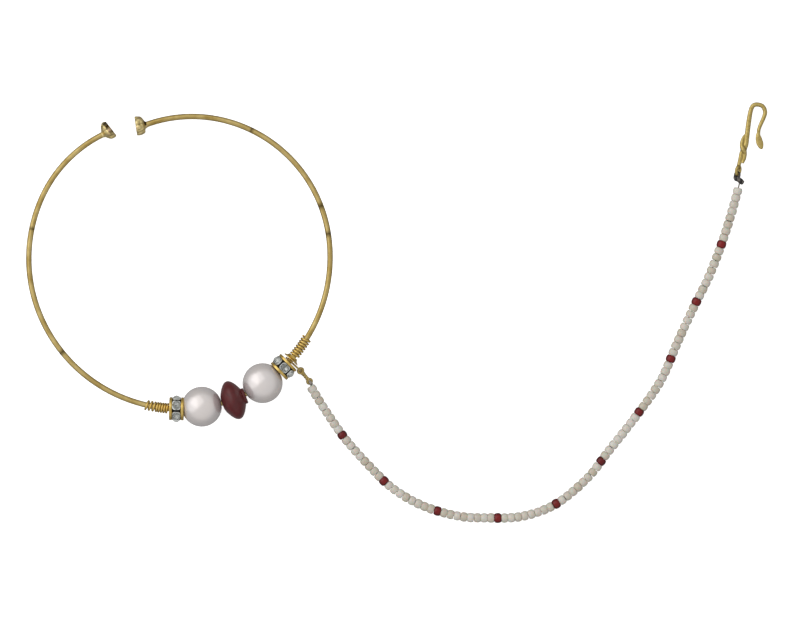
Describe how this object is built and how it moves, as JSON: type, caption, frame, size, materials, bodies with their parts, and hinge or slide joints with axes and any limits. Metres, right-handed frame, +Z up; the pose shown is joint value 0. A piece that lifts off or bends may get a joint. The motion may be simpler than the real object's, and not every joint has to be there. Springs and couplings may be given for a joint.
{
  "type": "nose ring with chain",
  "caption": "Open wire nose ring with pearl, red glass and rhinestone beads, and a seed bead chain ending in a hair hook.",
  "frame": {"origin": "on the surface that it lies on, under the middle of its bounding box", "axes": "+Z up, +X from the ring towards the hook, +Y from the beads towards the open side of the ring"},
  "size_m": [0.148, 0.084, 0.008],
  "materials": {
    "gilt_brass": "brushed, slightly tarnished gilding",
    "pearl": "pearl lacquer on glass",
    "red_glass": "satin",
    "crystal": "cut and foiled",
    "seed_glass": "opaque, pearly",
    "dark_thread": "waxed"
  },
  "bodies": {
    "root": {"hoop": "gilt_brass", "end_stone_left": "crystal", "end_stone_right": "crystal", "coil_left": "gilt_brass", "coil_right": "gilt_brass", "rondelle_left": "gilt_brass", "rondelle_left_stone_1": "crystal", "rondelle_left_stone_2": "crystal", "rondelle_left_stone_3": "crystal", "rondelle_left_stone_4": "crystal", "rondelle_left_stone_5": "crystal", "rondelle_left_stone_6": "crystal", "rondelle_right": "gilt_brass", "rondelle_right_stone_1": "crystal", "rondelle_right_stone_2": "crystal", "rondelle_right_stone_3": "crystal", "rondelle_right_stone_4": "crystal", "rondelle_right_stone_5": "crystal", "rondelle_right_stone_6": "crystal", "pearl_left": "pearl", "pearl_right": "pearl", "saucer_bead": "red_glass", "bead_cap": "gilt_brass", "hanger_loop": "gilt_brass", "chain_link": "gilt_brass", "bead_strand": "seed_glass", "thread_knot": "dark_thread", "hook": "gilt_brass"}
  },
  "joints": []
}
